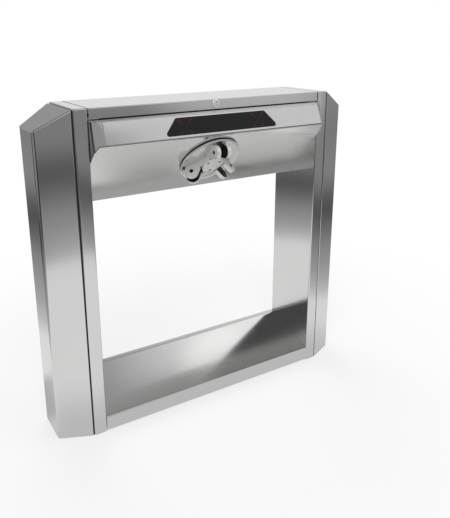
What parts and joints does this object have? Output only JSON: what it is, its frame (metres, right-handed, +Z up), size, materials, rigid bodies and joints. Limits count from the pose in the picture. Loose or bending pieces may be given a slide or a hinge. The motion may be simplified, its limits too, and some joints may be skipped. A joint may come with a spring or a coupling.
{
  "type": "tripod turnstile cabinet",
  "caption": "Waist-high stainless turnstile housing with a sloped panel, a turning three-fork hub for barrier arms, a dark display and an opening service lid.",
  "frame": {"origin": "On the floor, below the middle of the cabinet.", "axes": "+X along the cabinet's long side towards the viewer's right, +Y towards the back, +Z up; the sloped panel and the hub face -Y and down."},
  "size_m": [1.08, 0.2707, 1],
  "materials": {
    "brushed_sheet": "brushed stainless sheet, grain along the long side, near-mirror at low angles",
    "hub_satin": "turned and satin-blasted stainless",
    "lock_chrome": "bright chrome",
    "plain_steel": "plain machined steel",
    "zinc_plate": "dull zinc-plated sheet",
    "cast_housing": "fine-cast, machined faces",
    "black_enamel": "black enamel",
    "black_plastic": "moulded",
    "black_pane": "polished dark tinted pane",
    "circuit_board": "green solder mask",
    "gear_brass": "machined",
    "seal_rubber": "extruded black rubber"
  },
  "bodies": {
    "cabinet": {"base_rail": "plain_steel", "lower_beam_cover": "brushed_sheet", "left_base_plate": "plain_steel", "right_base_plate": "plain_steel", "left_post": "brushed_sheet", "right_post": "brushed_sheet", "left_end_cover": "brushed_sheet", "right_end_cover": "brushed_sheet", "left_gasket": "seal_rubber", "right_gasket": "seal_rubber", "fascia": "brushed_sheet", "display_window": "black_pane", "display_board": "circuit_board", "sloped_panel": "brushed_sheet", "rear_panel": "brushed_sheet", "lid_seal": "seal_rubber", "lock_catch": "plain_steel", "hinge_fixed_leaf": "plain_steel", "hinge_pin": "plain_steel", "front_chassis_plate": "zinc_plate", "rear_chassis_plate": "zinc_plate", "chassis_pillar_1": "plain_steel", "chassis_pillar_2": "plain_steel", "chassis_pillar_3": "plain_steel", "chassis_pillar_4": "plain_steel", "front_bearing_housing": "cast_housing", "rear_bearing_housing": "cast_housing", "front_bearing": "plain_steel", "rear_bearing": "plain_steel", "entry_pawl_pin": "plain_steel", "exit_pawl_pin": "plain_steel", "entry_solenoid": "black_enamel", "exit_solenoid": "black_enamel", "damper_body": "black_enamel", "position_sensor": "black_plastic", "controller_board": "circuit_board", "power_supply": "zinc_plate"},
    "lid": {"lid_cover": "brushed_sheet", "hinge_moving_leaf": "plain_steel", "lock_body": "lock_chrome", "lock_nut": "plain_steel"},
    "lock_barrel": {"lock_core": "lock_chrome", "lock_cam": "plain_steel"},
    "rotor": {"hub_disc": "hub_satin", "hub_body": "hub_satin", "hub_cap": "hub_satin", "hub_screw_1": "plain_steel", "hub_screw_2": "plain_steel", "hub_screw_3": "plain_steel", "main_shaft": "plain_steel", "shaft_nut": "plain_steel", "lock_wheel": "plain_steel", "damper_gear": "plain_steel", "position_disc": "plain_steel"},
    "damper_rotor": {"damper_pinion": "gear_brass"},
    "entry_pawl": {"entry_pawl": "plain_steel"},
    "exit_pawl": {"exit_pawl": "plain_steel"},
    "entry_plunger": {"entry_plunger": "plain_steel"},
    "exit_plunger": {"exit_plunger": "plain_steel"}
  },
  "joints": [
    {"name": "hub_turn", "type": "hinge", "parent": "cabinet", "child": "rotor", "pos_m": [0, -0.07149, 0.81347], "axis": [0, -0.7385, -0.6743], "continuous": true},
    {"name": "damper_turn", "type": "hinge", "parent": "cabinet", "child": "damper_rotor", "pos_m": [0, 0.01157, 0.78775], "axis": [0, -0.7385, -0.6743], "continuous": true},
    {"name": "entry_pawl_swing", "type": "hinge", "parent": "cabinet", "child": "entry_pawl", "pos_m": [0.082, -0.0198, 0.86067], "axis": [0, 0.7385, 0.6743], "range_deg": [0, 10], "stiffness_Nm_per_rad": 0.6, "springref_deg": -14.32},
    {"name": "exit_pawl_swing", "type": "hinge", "parent": "cabinet", "child": "exit_pawl", "pos_m": [-0.082, -0.0198, 0.86067], "axis": [0, -0.7385, -0.6743], "range_deg": [0, 10], "stiffness_Nm_per_rad": 0.6, "springref_deg": -14.32},
    {"name": "entry_plunger_slide", "type": "slide", "parent": "cabinet", "child": "entry_plunger", "axis": [0, 0.6743, -0.7385], "range_m": [0, 0.0053]},
    {"name": "exit_plunger_slide", "type": "slide", "parent": "cabinet", "child": "exit_plunger", "axis": [0, 0.6743, -0.7385], "range_m": [0, 0.0053]},
    {"name": "lid_hinge", "type": "hinge", "parent": "cabinet", "child": "lid", "pos_m": [0, 0.1022, 0.9942], "axis": [-1, 0, 0], "range_deg": [0, 80]},
    {"name": "lock_turn", "type": "hinge", "parent": "lid", "child": "lock_barrel", "pos_m": [0, -0.108, 0.9875], "axis": [0, -1, 0], "range_deg": [0, 90]}
  ],
  "couplings": [
    {"joint": "damper_turn", "follows": "hub_turn", "ratio": -3},
    {"joint": "entry_plunger_slide", "follows": "entry_pawl_swing", "m_per_rad": 0.03},
    {"joint": "exit_plunger_slide", "follows": "exit_pawl_swing", "m_per_rad": 0.03}
  ]
}
